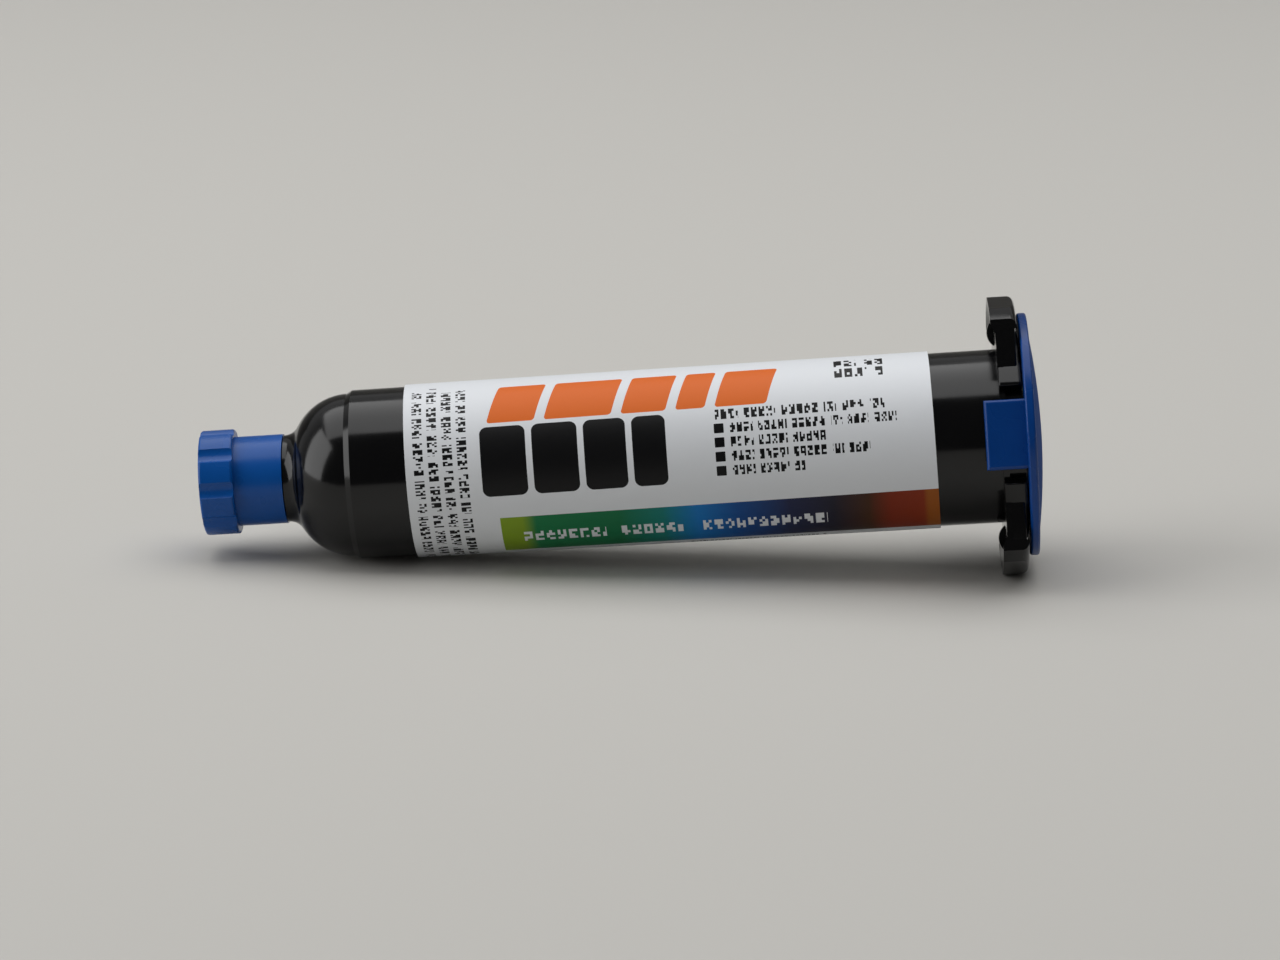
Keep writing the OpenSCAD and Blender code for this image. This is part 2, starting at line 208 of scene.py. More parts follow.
def upright(roll):
    """The barrel's own frame: z along its axis from the nozzle's tip, -y towards the label's front."""
    front = Vector((0, -math.cos(roll), math.sin(roll)))
    back = -(front - AXIS * front.dot(AXIS)).normalized()
    across = back.cross(AXIS)
    turn = Matrix((across, back, AXIS)).transposed().to_4x4()
    return Matrix.Translation(TIP) @ turn


def stations(node):
    """Each vertex of a node as its distance along the barrel's axis and its radius from it."""
    out = []
    for v in NODES[node].data.vertices:
        along = (v.co - TIP).dot(AXIS)
        out.append((along, (v.co - TIP - AXIS * along).length))
    return out


def new_object(name, bm, material, place=None):
    """Turns a bmesh into a piece with its place in its mesh."""
    if place is not None:
        bmesh.ops.transform(bm, matrix=place, verts=bm.verts)
    mesh = bpy.data.meshes.new(name)
    bm.to_mesh(mesh)
    bm.free()
    for face in mesh.polygons:
        face.use_smooth = True
    mesh.set_sharp_from_angle(angle=math.radians(SMOOTH_BELOW))
    mesh.materials.append(material)
    piece = bpy.data.objects.new(name, mesh)
    bpy.context.scene.collection.objects.link(piece)
    return piece


def level(profile, radius):
    """The station of a turned surface at a radius, between its nearest vertices."""
    inside = max((p for p in profile if p[0] <= radius), default=min(profile))
    outside = min((p for p in profile if p[0] >= radius), default=max(profile))
    if outside[0] == inside[0]:
        return inside[1]
    share = (radius - inside[0]) / (outside[0] - inside[0])
    return inside[1] + share * (outside[1] - inside[1])


def turned(name, profile, material):
    """Spins a profile of radii and stations round the barrel's axis, into a solid or a ring."""
    bm = bmesh.new()
    corners = [bm.verts.new((radius, 0, along)) for radius, along in profile]
    edges = [bm.edges.new(pair) for pair in zip(corners, corners[1:])]
    if profile[0][0] > 0:
        edges.append(bm.edges.new((corners[-1], corners[0])))
    bmesh.ops.spin(
        bm, geom=[*corners, *edges], cent=(0, 0, 0), axis=(0, 0, 1), angle=2 * math.pi,
        steps=TURNED_STEPS, use_merge=True,
    )
    bmesh.ops.remove_doubles(bm, verts=bm.verts, dist=WELD)
    bmesh.ops.recalc_face_normals(bm, faces=bm.faces)
    return new_object(name, bm, material, upright(0))


def dress(node, material):
    """Gives a CAD node its finish."""
    slots = NODES[node].data.materials
    slots.clear()
    slots.append(material)


def add(tree, kind, values=(), **settings):
    """Adds a node. Values go to its inputs, by name or in order: constants, sockets or nodes."""
    node = tree.nodes.new(kind)
    for key, value in settings.items():
        setattr(node, key, value)
    if not isinstance(values, dict):
        values = dict(zip([i.identifier for i in node.inputs if i.enabled], values))
    for key, value in values.items():
        socket = next(i for i in node.inputs if i.enabled and key in (i.identifier, i.name))
        if isinstance(value, bpy.types.Node):
            value = next(o for o in value.outputs if o.enabled)
        if isinstance(value, bpy.types.NodeSocket):
            tree.links.new(value, socket)
        else:
            socket.default_value = value
    return node


def new_material(name):
    """An empty node material and its tree."""
    material = bpy.data.materials.new(name)
    material.use_nodes = True
    material.node_tree.nodes.clear()
    return material, material.node_tree


def finish_material(tree, values):
    """Ends a tree in a Principled shader with these values."""
    shader = add(tree, "ShaderNodeBsdfPrincipled", values)
    add(tree, "ShaderNodeOutputMaterial", {"Surface": shader})


# Moulded plastic: the size of its slow changes in millimetres, the noise values between which they run, how
# much they darken and lighten the colour, and what a matt tool adds to the roughness.
FLOW_SIZE = 9
FLOW_SPAN = {"From Min": 0.3, "From Max": 0.7}
FLOW_SHADE = {"To Min": 0.94, "To Max": 1.06}
MATT_EXTRA = 0.6


def moulded(name, base, roughness, variation, texture, relief, matt_from=1.0, **constants):
    """Injection-moulded plastic: an even colour, the tool's fine texture, and slow changes of gloss.

    The texture's size and its relief are in millimetres. Beyond matt_from, in metres along the barrel's
    axis, the tool was left matt. Its default lies beyond the syringe.
    """
    material, tree = new_material(name)
    place = add(tree, "ShaderNodeTexCoord").outputs["Object"]
    grain = add(tree, "ShaderNodeTexNoise", {"Vector": place, "Scale": 1 / (texture * MM), "Detail": 3})
    flow = add(tree, "ShaderNodeTexNoise", {"Vector": place, "Scale": 1 / (FLOW_SIZE * MM), "Detail": 2})
    gloss = add(tree, "ShaderNodeMapRange", {
        "Value": flow, **FLOW_SPAN, "To Min": roughness - variation, "To Max": roughness + variation,
    })
    along = add(tree, "ShaderNodeVectorMath", [place, TIP], operation="SUBTRACT")
    along = add(tree, "ShaderNodeVectorMath", [along, AXIS], operation="DOT_PRODUCT")
    matt = add(tree, "ShaderNodeMath", [along, matt_from], operation="GREATER_THAN")
    gloss = add(tree, "ShaderNodeMath", [matt, MATT_EXTRA, gloss], operation="MULTIPLY_ADD")
    shade = add(tree, "ShaderNodeMapRange", {"Value": flow, **FLOW_SPAN, **FLOW_SHADE})
    tint = add(tree, "ShaderNodeVectorMath", [base, shade], operation="MULTIPLY")
    bump = add(tree, "ShaderNodeBump", {"Distance": relief * MM, "Height": grain})
    finish_material(tree, {"Base Color": tint, "Roughness": gloss, "Normal": bump, **constants})
    return material


def bar(tree, point, left, right, low, high, corner):
    """A printed bar with round corners: one inside it, zero outside."""
    centre = ((left + right) / 2, (low + high) / 2, 0)
    half = ((right - left) / 2 - corner, (high - low) / 2 - corner, 0)
    away = add(tree, "ShaderNodeVectorMath", [point, centre], operation="SUBTRACT")
    away = add(tree, "ShaderNodeVectorMath", [away], operation="ABSOLUTE")
    out = add(tree, "ShaderNodeVectorMath", [away, half], operation="SUBTRACT")
    out = add(tree, "ShaderNodeVectorMath", [out, (0, 0, 0)], operation="MAXIMUM")
    reach = add(tree, "ShaderNodeVectorMath", [out], operation="LENGTH")
    return add(tree, "ShaderNodeMath", [reach, corner], operation="LESS_THAN")


# Small print: the width of a letter as a share of its height, and of the ink as a share of that width.
LETTER_WIDTH, LETTER_INK = 0.7, 0.75
# The cells across a letter and up it, and the share of them that are inked.
LETTER_CELLS, CELLS_INKED = 4, 0.7
# Half the gap between two words as a share of their length, and how many words apart the rows are in the
# noise that parts them, so that each row parts in other places.
WORD_GAP, ROW_SHIFT = 0.09, 17.3
# The corners of blocks that have none to speak of, in millimetres.
SQUARE = 0.01


def small_print(tree, point, left, right, low, high, rows, stroke, word, ragged):
    """Rows of small print: uneven cells of ink, with gaps between letters and wider ones between words."""
    pitch = (high - low) / rows
    letter = stroke * LETTER_WIDTH
    inset = add(tree, "ShaderNodeVectorMath", [point, (left, low, 0)], operation="SUBTRACT")
    split = add(tree, "ShaderNodeSeparateXYZ", [inset])
    x, y = split.outputs["X"], split.outputs["Y"]
    row = add(tree, "ShaderNodeMath", [y, pitch], operation="DIVIDE")
    index = add(tree, "ShaderNodeMath", [row], operation="FLOOR")
    height = add(tree, "ShaderNodeMath", [row], operation="FRACT")
    in_row = add(tree, "ShaderNodeMath", [height, stroke / pitch], operation="LESS_THAN")
    place = add(tree, "ShaderNodeMath", [x, letter], operation="DIVIDE")
    place = add(tree, "ShaderNodeMath", [place], operation="FRACT")
    in_letter = add(tree, "ShaderNodeMath", [place, LETTER_INK], operation="LESS_THAN")
    run = add(tree, "ShaderNodeMath", [x, 1 / word], operation="MULTIPLY")
    run = add(tree, "ShaderNodeMath", [index, ROW_SHIFT, run], operation="MULTIPLY_ADD")
    gap = add(tree, "ShaderNodeTexVoronoi", {"W": run, "Scale": 1}, voronoi_dimensions="1D",
              feature="DISTANCE_TO_EDGE")
    in_word = add(tree, "ShaderNodeMath", [gap, WORD_GAP], operation="GREATER_THAN")
    size = (letter / LETTER_CELLS, stroke / LETTER_CELLS, 1)
    cell = add(tree, "ShaderNodeVectorMath", [inset, size], operation="SNAP")
    seed = left + low
    inked = add(tree, "ShaderNodeTexWhiteNoise", {"Vector": cell, "W": seed}, noise_dimensions="4D")
    inked = add(tree, "ShaderNodeMath", [inked, CELLS_INKED], operation="LESS_THAN")
    chance = add(tree, "ShaderNodeTexWhiteNoise", {"W": index}, noise_dimensions="1D")
    end = add(tree, "ShaderNodeMath", [chance, -ragged, right - left], operation="MULTIPLY_ADD")
    before_end = add(tree, "ShaderNodeMath", [x, end], operation="LESS_THAN")
    mask = bar(tree, point, left, right, low, high, SQUARE)
    for part in (in_row, in_letter, in_word, inked, before_end):
        mask = add(tree, "ShaderNodeMath", [mask, part], operation="MULTIPLY")
    return mask


# Print on the label, in millimetres: x from its front edge, y up from the middle of its front.
# Each bar is its left and right side. The bars of the heading and of the name share their low and high
# sides and the radius of their corners, and the heading's lean by so much for each millimetre up.
HEADING_BARS = [(12.8, 19.6), (21.0, 30.6), (32.0, 38.4), (39.8, 44.0), (45.4, 52.8)]
HEADING_LOW, HEADING_HIGH, HEADING_CORNER, HEADING_LEAN = 6.6, 14.0, 0.5, 0.26
NAME_BARS = [(10.8, 17.3), (18.2, 24.7), (25.6, 31.6), (32.5, 37.3)]
NAME_LOW, NAME_HIGH, NAME_CORNER = -4.2, 6.0, 1.1
# The list beside them: a heading, then lines that each start with a square and end at LIST_ENDS.
LIST_LEFT, LIST_TOP, LIST_PITCH, LIST_SQUARE = 44.2, 5.3, 2.02, 1.4
LIST_CORNER, LIST_INDENT, LIST_WORD = 0.1, 2.3, 4.2
LIST_ENDS = [70.2, 60.8, 66.6, 56.8]
# Each block of small print is left, right, low, high, rows, letter height, word length and raggedness.
PRINT_BLOCKS = [
    (LIST_LEFT, 68.6, 4.6, 6.6, 1, 1.55, 4.6, 0),
    (61.8, 69.3, 10.4, 15.8, 2, 2.1, 6.0, 1),
    (39.5, 59.0, -18.4, -17.0, 1, 0.8, 3.0, 0),
]
# Four rows at the label's front end, which read round the barrel: the same, with x and y swapped.
TURNED_BLOCKS = [(-19.0, 15.4, 1.2, 9.6, 4, 1.4, 3.8, 2)]
# Words knocked out of the strip, as blocks of small print that show the film.
KNOCKED_OUT = [
    (15.9, 27.7, -13.1, -10.3, 1, 2.3, 40, 0),
    (29.9, 38.7, -13.1, -10.3, 1, 2.3, 40, 0),
    (41.6, 59.4, -13.1, -10.3, 1, 2.3, 40, 0),
]
# The strip of spectrum colours runs off the label's back end. Its stops are shares of its length.
STRIP_LEFT, STRIP_OVER, STRIP_LOW, STRIP_HIGH = 12.8, 1, -16.5, -7.75
STRIP_COLOURS = [
    (0.00, "#819e20"), (0.05, "#7f9c20"), (0.08, "#0f7443"), (0.27, "#0b6c42"), (0.37, "#0a7770"),
    (0.45, "#0a70b8"), (0.54, "#08498d"), (0.66, "#1e2548"), (0.76, "#1e1b2b"), (0.84, "#44240c"),
    (0.89, "#7d2604"), (0.965, "#862c05"), (0.975, "#975110"), (1.00, "#975110"),
]
# The film's grain and its relief in millimetres, and its roughness, which follows the grain.
FILM_GRAIN, FILM_RELIEF = 0.5, 0.004
FILM_SATIN = {"To Min": 0.36, "To Max": 0.48}


def spectrum(tree, x, end):
    """The colours of the strip, from its left side to the label's end."""
    share = add(tree, "ShaderNodeMapRange", {"Value": x, "From Min": STRIP_LEFT, "From Max": end})
    ramp = add(tree, "ShaderNodeValToRGB", [share])
    stops = ramp.color_ramp.elements
    for i, (at, code) in enumerate(STRIP_COLOURS):
        # a new ramp has two stops
        stop = stops[i] if i < 2 else stops.new(at)
        stop.position = at
        stop.color = (*linear(code), 1)
    return ramp


def printing(tree, point, colours, end):
    """Everything that is printed, from the bottom layer to the top: pairs of a mask and its ink."""
    split = add(tree, "ShaderNodeSeparateXYZ", [point])
    x, y = split.outputs["X"], split.outputs["Y"]
    swapped = add(tree, "ShaderNodeCombineXYZ", [y, x])
    lean = add(tree, "ShaderNodeMath", [y, -HEADING_LEAN, x], operation="MULTIPLY_ADD")
    leaning = add(tree, "ShaderNodeCombineXYZ", [lean, y])
    shift = HEADING_LEAN * (HEADING_LOW + HEADING_HIGH) / 2
    black, orange, film = ((*ink, 1) for ink in (colours.black_ink, colours.orange_ink, colours.film))
    inks = []
    for left, right in HEADING_BARS:
        size = (left - shift, right - shift, HEADING_LOW, HEADING_HIGH, HEADING_CORNER)
        inks.append((bar(tree, leaning, *size), orange))
    for left, right in NAME_BARS:
        inks.append((bar(tree, point, left, right, NAME_LOW, NAME_HIGH, NAME_CORNER), black))
    for i, right in enumerate(LIST_ENDS):
        low = LIST_TOP - LIST_PITCH * (i + 1) - LIST_SQUARE / 2
        size = (LIST_LEFT, LIST_LEFT + LIST_SQUARE, low, low + LIST_SQUARE, LIST_CORNER)
        inks.append((bar(tree, point, *size), black))
        size = (LIST_LEFT + LIST_INDENT, right, low, low + LIST_PITCH)
        inks.append((small_print(tree, point, *size, 1, LIST_SQUARE, LIST_WORD, 0), black))
    inks += [(small_print(tree, point, *size), black) for size in PRINT_BLOCKS]
    inks += [(small_print(tree, swapped, *size), black) for size in TURNED_BLOCKS]
    strip = bar(tree, point, STRIP_LEFT, end + STRIP_OVER, STRIP_LOW, STRIP_HIGH, SQUARE)
    inks.append((strip, spectrum(tree, x, end)))
    inks += [(small_print(tree, point, *size), film) for size in KNOCKED_OUT]
    return inks


def label_material(colours, sheet):
    """White polypropylene label film, satin, with print in three inks and a strip of spectrum colours."""
    material, tree = new_material("printed polypropylene film")
    uv = add(tree, "ShaderNodeUVMap", uv_map="Sheet")
    point = add(tree, "ShaderNodeMapping", {
        "Vector": uv, "Location": (0, -sheet.y / MM / 2, 0), "Scale": (sheet.x / MM, sheet.y / MM, 1),
    })
    layer = (*colours.film, 1)
    for mask, ink in printing(tree, point, colours, sheet.x / MM):
        layer = add(tree, "ShaderNodeMix", [mask, layer, ink], data_type="RGBA")
    place = add(tree, "ShaderNodeTexCoord").outputs["Object"]
    grain = add(tree, "ShaderNodeTexNoise", {"Vector": place, "Scale": 1 / (FILM_GRAIN * MM), "Detail": 3})
    bump = add(tree, "ShaderNodeBump", {"Distance": FILM_RELIEF * MM, "Height": grain})
    satin = add(tree, "ShaderNodeMapRange", {"Value": grain, **FILM_SATIN})
    finish_material(tree, {
        "Base Color": layer, "Roughness": satin, "IOR": 1.49, "Specular IOR Level": 0.25, "Normal": bump,
    })
    return material


def softbox(name, middle, facing, width, depth, radiance):
    """A rectangular lamp whose back points along facing, as bright as its radiance says."""
    lamp = bpy.data.lights.new(name, "AREA")
    lamp.shape = "RECTANGLE"
    lamp.size = width
    lamp.size_y = depth
    lamp.energy = radiance * math.pi * width * depth
    box = bpy.data.objects.new(name, lamp)
    box.location = middle
    box.rotation_euler = facing.to_track_quat("Z", "Y").to_euler()
    bpy.context.scene.collection.objects.link(box)


def wing_walls(sizes, roll, material):
    """The wings' roots, and the walls along the wings' sides between the web and the rim."""
    mouth = (mount("flange") - TIP).length
    web = mouth - sizes.root_length
    inner, outer = sizes.root_radius - sizes.root_depth, sizes.root_radius
    front, back = web + sizes.root_inset, mouth - sizes.mouth_inset
    bm = bmesh.new()
    for side in (0, math.pi):
        corners = ((inner, front), (outer, front), (outer, back), (inner, back))
        section = [bm.verts.new((radius, 0, along)) for radius, along in corners]
        face = bm.faces.new(section)
        first = Matrix.Rotation(side - sizes.root_angle / 2, 3, "Z")
        bmesh.ops.rotate(bm, verts=section, matrix=first)
        bmesh.ops.spin(
            bm, geom=[face, *face.edges, *section], cent=(0, 0, 0), axis=(0, 0, 1),
            angle=sizes.root_angle, steps=sizes.root_steps,
        )
    height = sizes.wall_high - sizes.wall_low
    up = sizes.wall_low + height / 2
    across = sizes.wall_out - sizes.wall_thickness / 2
    along = web + sizes.wall_inset + sizes.wall_length / 2
    scale = Matrix.Diagonal((height, sizes.wall_thickness, sizes.wall_length, 1))
    for side in (-1, 1):
        for turn in (-1, 1):
            place = Matrix.Translation((side * up, turn * across, along))
            bmesh.ops.create_cube(bm, size=1, matrix=place @ scale)
    sharp = [edge for edge in bm.edges if edge.calc_face_angle(0) > sizes.round_from]
    bmesh.ops.bevel(
        bm, geom=sharp, offset=sizes.round, segments=sizes.round_steps, profile=0.5, affect="EDGES",
        material=-1,
    )
    bmesh.ops.recalc_face_normals(bm, faces=bm.faces)
    return new_object("wing_walls", bm, material, upright(roll))


def neck_blend(sizes, material):
    """The hollow blend between the neck and the dome: an arc that is tangent to both."""
    out = sizes.radius + sizes.blend
    reach = sizes.dome_radius + sizes.blend
    middle = sizes.dome_station - math.sqrt(reach ** 2 - (out - sizes.dome_middle) ** 2)
    last = math.atan2(sizes.dome_station - middle, sizes.dome_middle - out)
    arc = []
    for step in range(sizes.arc_steps + 1):
        turn = math.pi + (last - math.pi) * step / sizes.arc_steps
        along = max(sizes.start, middle + sizes.blend * math.sin(turn))
        arc.append((out + sizes.blend * math.cos(turn), along))
    inner = sizes.radius - sizes.depth
    return turned("neck_blend", [(inner, sizes.start), *arc, (inner, arc[-1][1])], material)


class SYRINGE_OT_barrel(bpy.types.Operator):
    """Finishes the barrel in glossy carbon-black polypropylene, and adds the forms its solid lacks"""

    bl_idname = "syringe.barrel"
    bl_label = "Barrel"

    def execute(self, context):
        scene = context.scene
        # light-blocking polypropylene from a polished tool: black, glossy, faintly uneven
        black = moulded(
            "black polypropylene", scene.syringe_colours.barrel, roughness=0.14, variation=0.03,
            texture=0.8, relief=0.002, **{"IOR": 1.49, "Specular IOR Level": 0.42},
        )
        dress("barrel", black)
        walls = wing_walls(scene.syringe_wings, scene.syringe_label.front_roll, black)
        blend = neck_blend(scene.syringe_neck, black)
        for piece in (walls, blend):
            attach(piece, "barrel")
        return {"FINISHED"}


class SYRINGE_OT_caps(bpy.types.Operator):
    """Finishes the tip cap and the end cap in blue polyethylene"""

    bl_idname = "syringe.caps"
    bl_label = "Caps"

    def execute(self, context):
        colours = context.scene.syringe_colours
        # polyethylene has a waxy half gloss
        # the end cap's tool was left matt at the disc's back, and the tip cap's nowhere
        back = max(along for along, radius in stations("end_cap"))
        matt_depth = 1.3 * MM
        for node, base, matt_from in (
            ("tip_cap", colours.tip_cap, back), ("end_cap", colours.end_cap, back - matt_depth),
        ):
            blue = moulded(
                f"blue polyethylene of the {node.replace('_', ' ')}", base, roughness=0.27, variation=0.04,
                texture=0.5, relief=0.004, matt_from=matt_from, **{"IOR": 1.51, "Specular IOR Level": 0.3},
            )
            dress(node, blue)
        return {"FINISHED"}


# The fill is a column in the nozzle's channel, and rings behind it. Each ring is its inner and outer
# radius in millimetres, and how far it sinks into the dome's wall when it is flat, so that the piston's
# domed nose never cuts it.
FILL_RINGS = [(0, 6.6, 0.45), (6.6, 8.7, 0), (8.7, 10.2, 0), (10.2, 11.1, 0)]
# The faces across each ring.
FILL_STEPS = 12
# A radius between the channel's and the dome's smallest, and the gap between the column and the rings.
FILL_CHANNEL, FILL_GAP = 1.3 * MM, 0.3 * MM


class SYRINGE_OT_inside(bpy.types.Operator):
    """Finishes the piston, and makes the fill"""

    bl_idname = "syringe.inside"
    bl_label = "Piston and fill"

    def execute(self, context):
        colours = context.scene.syringe_colours
        # natural polyethylene: milky, waxy
        milky = moulded(
            "natural polyethylene", colours.piston, roughness=0.4, variation=0.05,
            texture=0.5, relief=0.006, IOR=1.51,
        )
        dress("piston", milky)
        # light-cure acrylic before it sets: a clear amber syrup
        amber = moulded(
            "amber adhesive", colours.fill, roughness=0.08, variation=0.02,
            texture=2.0, relief=0.001, **{"IOR": 1.49, "Transmission Weight": 0.6},
        )
        skin = [(radius, along) for along, radius in stations("adhesive")]
        half_way = max(along for radius, along in skin) / 2
        dome = [(radius, along) for radius, along in skin if along < half_way and radius > FILL_CHANNEL]
        nose = [(radius, along) for radius, along in skin if along > half_way]
        channel = min(radius for radius, along in skin if along < half_way)
        start = min(along for radius, along in skin)
        end = level(dome, 0) - FILL_GAP
        pieces = [turned("fill_nozzle", [(0, start), (channel, start), (channel, end), (0, end)], amber)]
        for i, (inner, outer, sunk) in enumerate(FILL_RINGS):
            radii = [
                (inner + (outer - inner) * step / FILL_STEPS) * MM for step in range(FILL_STEPS + 1)
            ]
            front = [(radius, level(dome, radius)) for radius in radii]
            back = [(radius, level(nose, radius)) for radius in reversed(radii)]
            piece = turned(f"fill_{i}", front + back, amber)
            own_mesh(piece)
            pieces.append(piece)
        for piece in pieces:
            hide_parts("adhesive")
            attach(piece, "barrel")
        return {"FINISHED"}


class SYRINGE_OT_thread(bpy.types.Operator):
    """Makes the locking thread inside the nozzle's collar"""

    bl_idname = "syringe.thread"
    bl_label = "Locking thread"

    def execute(self, context):
        sizes = context.scene.syringe_thread
        travel = sizes.last - sizes.first
        outer, inner = sizes.bore + sizes.depth, sizes.bore - sizes.height
        root, crest = sizes.root / 2, sizes.crest / 2
        bm = bmesh.new()
        for start in range(sizes.starts):
            profile = [(outer, -root), (inner, -crest), (inner, crest), (outer, root)]
            section = [bm.verts.new((radius, 0, sizes.first + along)) for radius, along in profile]
            face = bm.faces.new(section)
            first = Matrix.Rotation(2 * math.pi * start / sizes.starts, 3, "Z")
            bmesh.ops.rotate(bm, verts=section, matrix=first)
            bmesh.ops.spin(
                bm, geom=[face, *face.edges, *section], cent=(0, 0, 0), axis=(0, 0, 1),
                dvec=(0, 0, travel / sizes.turn_steps), angle=2 * math.pi * travel / sizes.lead,
                steps=sizes.turn_steps, use_duplicate=False,
            )
        bmesh.ops.recalc_face_normals(bm, faces=bm.faces)
        black = NODES["barrel"].data.materials[0]
        piece = new_object("collar_thread", bm, black, upright(0))
        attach(piece, "barrel")
        return {"FINISHED"}


class SYRINGE_OT_label(bpy.types.Operator):
    """Makes the printed label: a flat sheet, wrapped round the barrel and given its thickness"""

    bl_idname = "syringe.label"
    bl_label = "Label"

    def execute(self, context):
        sizes = context.scene.syringe_label
        skin = stations("label")
        start = min(along for along, radius in skin)
        end = max(along for along, radius in skin)
        # the label is a cone, and vertices this near to one of its ends stand on it
        near = 0.1 * MM
        front_r = max(radius for along, radius in skin if along < start + near)
        back_r = max(radius for along, radius in skin if along > end - near)
        mean_r = (front_r + back_r) / 2
        sheet = Vector((end - start, mean_r * sizes.wrap))
        bm = bmesh.new()
        bmesh.ops.create_grid(
            bm, x_segments=sizes.steps_along, y_segments=sizes.steps_round, size=0.5, calc_uvs=False,
        )
        layer = bm.loops.layers.uv.new("Sheet")
        for face in bm.faces:
            for loop in face.loops:
                loop[layer].uv = (loop.vert.co.x + 0.5, loop.vert.co.y + 0.5)
        skew = Matrix.Rotation(sizes.skew, 3, "Z")
        for v in bm.verts:
            flat = skew @ Vector((v.co.x * sheet.x, v.co.y * sheet.y, 0))
            along = flat.x + (start + end) / 2
            radius = front_r + (back_r - front_r) * (along - start) / (end - start)
            height = -flat.y / mean_r
            v.co = (radius * math.sin(height), -radius * math.cos(height), along)
        bmesh.ops.recalc_face_normals(bm, faces=bm.faces)
        bmesh.ops.solidify(bm, geom=bm.faces[:], thickness=sizes.film)
        film = label_material(context.scene.syringe_colours, sheet)
        piece = new_object("label_film", bm, film, upright(sizes.front_roll))
        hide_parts("label")
        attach(piece, "barrel")
        return {"FINISHED"}


# The paper's tooth, in grains to the metre, and its relief.
PAPER_TOOTH, PAPER_RELIEF = 900, 0.01 * MM
# How far back a ray points where the room's light starts to grow, and where it is full.
ROOM_SPAN = {"From Min": 0.1, "From Max": 0.5}
# What the camera sees lies between these distances from it, in metres.
CLIP_NEAR, CLIP_FAR = 0.05, 20


def lay_paper(studio, tint):
    """Seamless paper, which lies flat under the syringe and sweeps up far behind it."""
    material, tree = new_material("matt paper")
    place = add(tree, "ShaderNodeTexCoord").outputs["Object"]
    tooth = add(tree, "ShaderNodeTexNoise", {"Vector": place, "Scale": PAPER_TOOTH, "Detail": 2})
    bump = add(tree, "ShaderNodeBump", {"Distance": PAPER_RELIEF, "Height": tooth})
    finish_material(tree, {"Base Color": (*tint, 1), "Roughness": 0.75, "Normal": bump})
    bm = bmesh.new()
    half = studio.paper_width / 2
    ends = [bm.verts.new((x, studio.paper_back, 0)) for x in (-half, half)]
    edge = bm.edges.new(ends)
    front = bmesh.ops.extrude_edge_only(bm, edges=[edge])["geom"]
    bmesh.ops.translate(
        bm, verts=[v for v in front if isinstance(v, bmesh.types.BMVert)],
        vec=(0, -studio.paper_back - studio.paper_front, 0),
    )
    swept = bmesh.ops.spin(
        bm, geom=[*ends, edge], cent=(0, studio.paper_back, studio.paper_sweep), axis=(1, 0, 0),
        angle=math.pi / 2, steps=studio.paper_steps,
    )["geom_last"]
    top = bmesh.ops.extrude_edge_only(
        bm, edges=[e for e in swept if isinstance(e, bmesh.types.BMEdge)],
    )["geom"]
    bmesh.ops.translate(
        bm, verts=[v for v in top if isinstance(v, bmesh.types.BMVert)], vec=(0, 0, studio.paper_rise),
    )
    bmesh.ops.recalc_face_normals(bm, faces=bm.faces)
    new_object("paper", bm, material)


def set_softboxes(studio):
    """A wide softbox over the syringe, and a far one at its nozzle's end."""
    above = Vector((0, studio.top_back, studio.top_height))
    size = (studio.top_width, studio.top_depth)
    softbox("top_softbox", above, Vector((0, 0, 1)), *size, studio.top_radiance)
    turn, rise = studio.side_turn, studio.side_rise
    flat = math.cos(rise)
    side = Vector((-flat * math.cos(turn), -flat * math.sin(turn), math.sin(rise)))
    size = (studio.side_width, studio.side_height)
    softbox("side_softbox", side * studio.side_distance, side, *size, studio.side_radiance)


def room_light(studio):
    """A dim room, brighter behind the syringe than behind the camera."""
    world = bpy.data.worlds.new("room")
    world.use_nodes = True
    tree = world.node_tree
    tree.nodes.clear()
    ray = add(tree, "ShaderNodeTexCoord").outputs["Generated"]
    facing = add(tree, "ShaderNodeSeparateXYZ", [ray])
    glow = add(tree, "ShaderNodeMapRange", {
        "Value": facing.outputs["Y"], **ROOM_SPAN, "To Min": studio.room_front, "To Max": studio.room_back,
    })
    air = add(tree, "ShaderNodeBackground", {"Color": (1, 1, 1, 1), "Strength": glow})
    add(tree, "ShaderNodeOutputWorld", {"Surface": air})
    return world


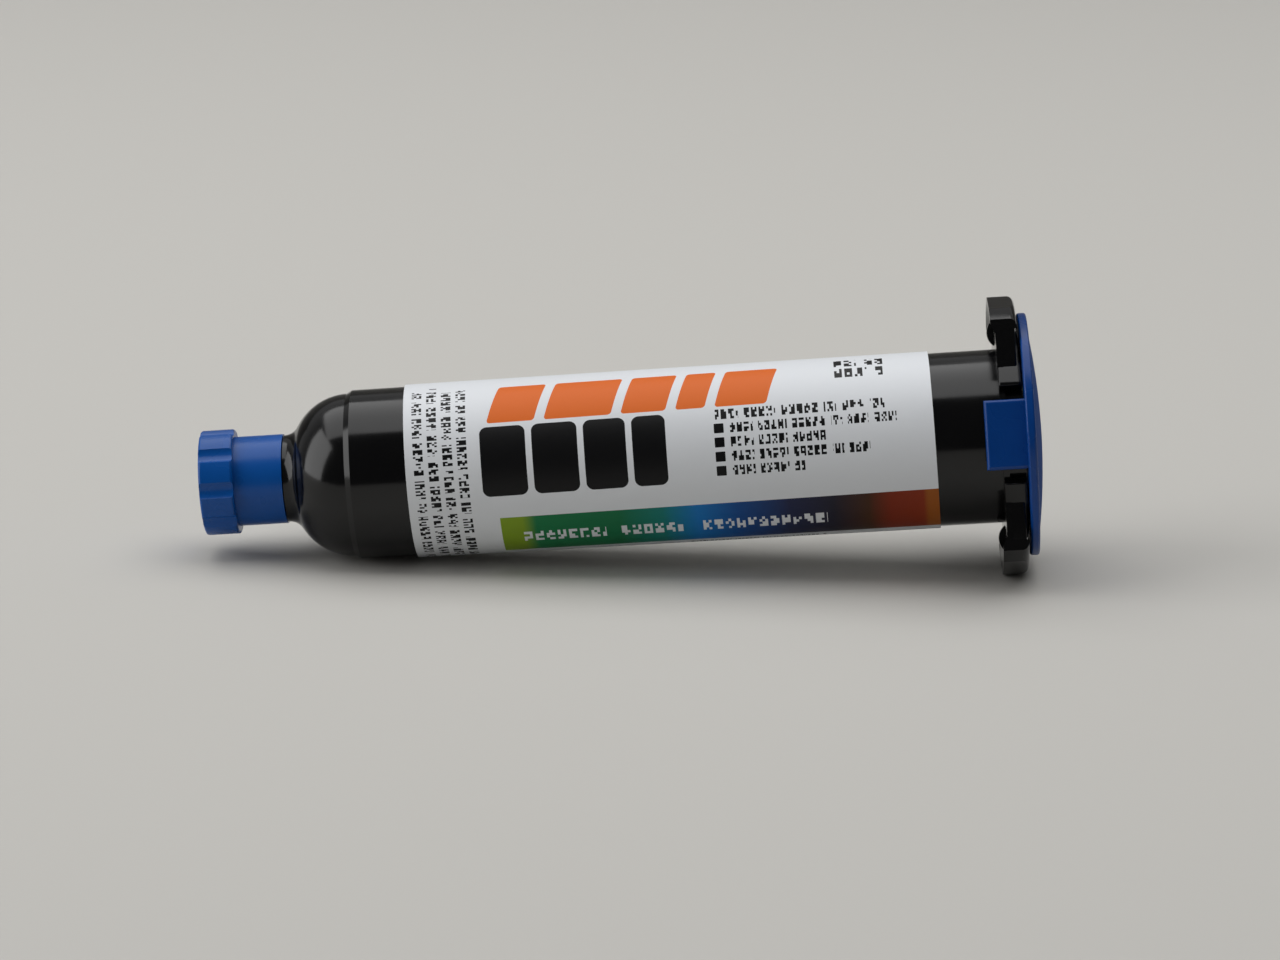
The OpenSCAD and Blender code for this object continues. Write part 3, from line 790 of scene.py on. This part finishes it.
def photo_camera(studio):
    """The camera, turned and raised about the point it looks at, and rolled about its own view."""
    lens = bpy.data.cameras.new("camera")
    lens.sensor_width = studio.sensor
    lens.lens = studio.focal
    lens.clip_start = CLIP_NEAR
    lens.clip_end = CLIP_FAR
    camera = bpy.data.objects.new("camera", lens)
    a, e, r = studio.azimuth, studio.elevation, studio.roll
    back = Vector((math.sin(a) * math.cos(e), -math.cos(a) * math.cos(e), math.sin(e)))
    right = (-back).cross(Vector((0, 0, 1))).normalized()
    up = right.cross(-back)
    rolled_right = right * math.cos(r) + up * math.sin(r)
    rolled_up = up * math.cos(r) - right * math.sin(r)
    turn = Matrix((rolled_right, rolled_up, back)).transposed().to_4x4()
    aim = TIP + AXIS * studio.aim_along - Vector((0, 0, studio.aim_drop))
    camera.matrix_world = Matrix.Translation(aim + back * studio.distance) @ turn
    bpy.context.scene.collection.objects.link(camera)
    return camera


class SYRINGE_OT_stage(bpy.types.Operator):
    """Sets out the paper, the softboxes, the room light and the camera"""

    bl_idname = "syringe.stage"
    bl_label = "Stage"

    def execute(self, context):
        scene = context.scene
        studio = scene.syringe_studio
        lay_paper(studio, scene.syringe_colours.floor)
        set_softboxes(studio)
        scene.world = room_light(studio)
        scene.camera = photo_camera(studio)
        scene.view_settings.view_transform = "Standard"
        return {"FINISHED"}


class SYRINGE_PT_panel(bpy.types.Panel):
    """Lists the steps and their sizes"""

    bl_idname = "SYRINGE_PT_panel"
    bl_label = "Syringe"
    bl_space_type = "VIEW_3D"
    bl_region_type = "UI"
    bl_category = "Syringe"

    def draw(self, context):
        for operator in OPERATORS:
            self.layout.operator(operator.bl_idname)
        for name, group in GROUPS.items():
            box = self.layout.box()
            for key in group.__annotations__:
                box.prop(getattr(context.scene, name), key)


OPERATORS = (
    SYRINGE_OT_stage,
    SYRINGE_OT_barrel,
    SYRINGE_OT_caps,
    SYRINGE_OT_inside,
    SYRINGE_OT_thread,
    SYRINGE_OT_label,
)
GROUPS = {
    "syringe_colours": SyringeColours,
    "syringe_label": SyringeLabel,
    "syringe_wings": SyringeWings,
    "syringe_neck": SyringeNeck,
    "syringe_thread": SyringeThread,
    "syringe_studio": SyringeStudio,
}


def register():
    for cls in (*GROUPS.values(), *OPERATORS, SYRINGE_PT_panel):
        bpy.utils.register_class(cls)
    for name, group in GROUPS.items():
        setattr(bpy.types.Scene, name, PointerProperty(type=group))


def unregister():
    for name in GROUPS:
        delattr(bpy.types.Scene, name)
    for cls in reversed((*GROUPS.values(), *OPERATORS, SYRINGE_PT_panel)):
        bpy.utils.unregister_class(cls)


def main():
    """Runs every step in order."""
    register()
    bpy.ops.syringe.stage()
    bpy.ops.syringe.barrel()
    bpy.ops.syringe.caps()
    bpy.ops.syringe.inside()
    bpy.ops.syringe.thread()
    bpy.ops.syringe.label()


if __name__ == "__main__":
    main()
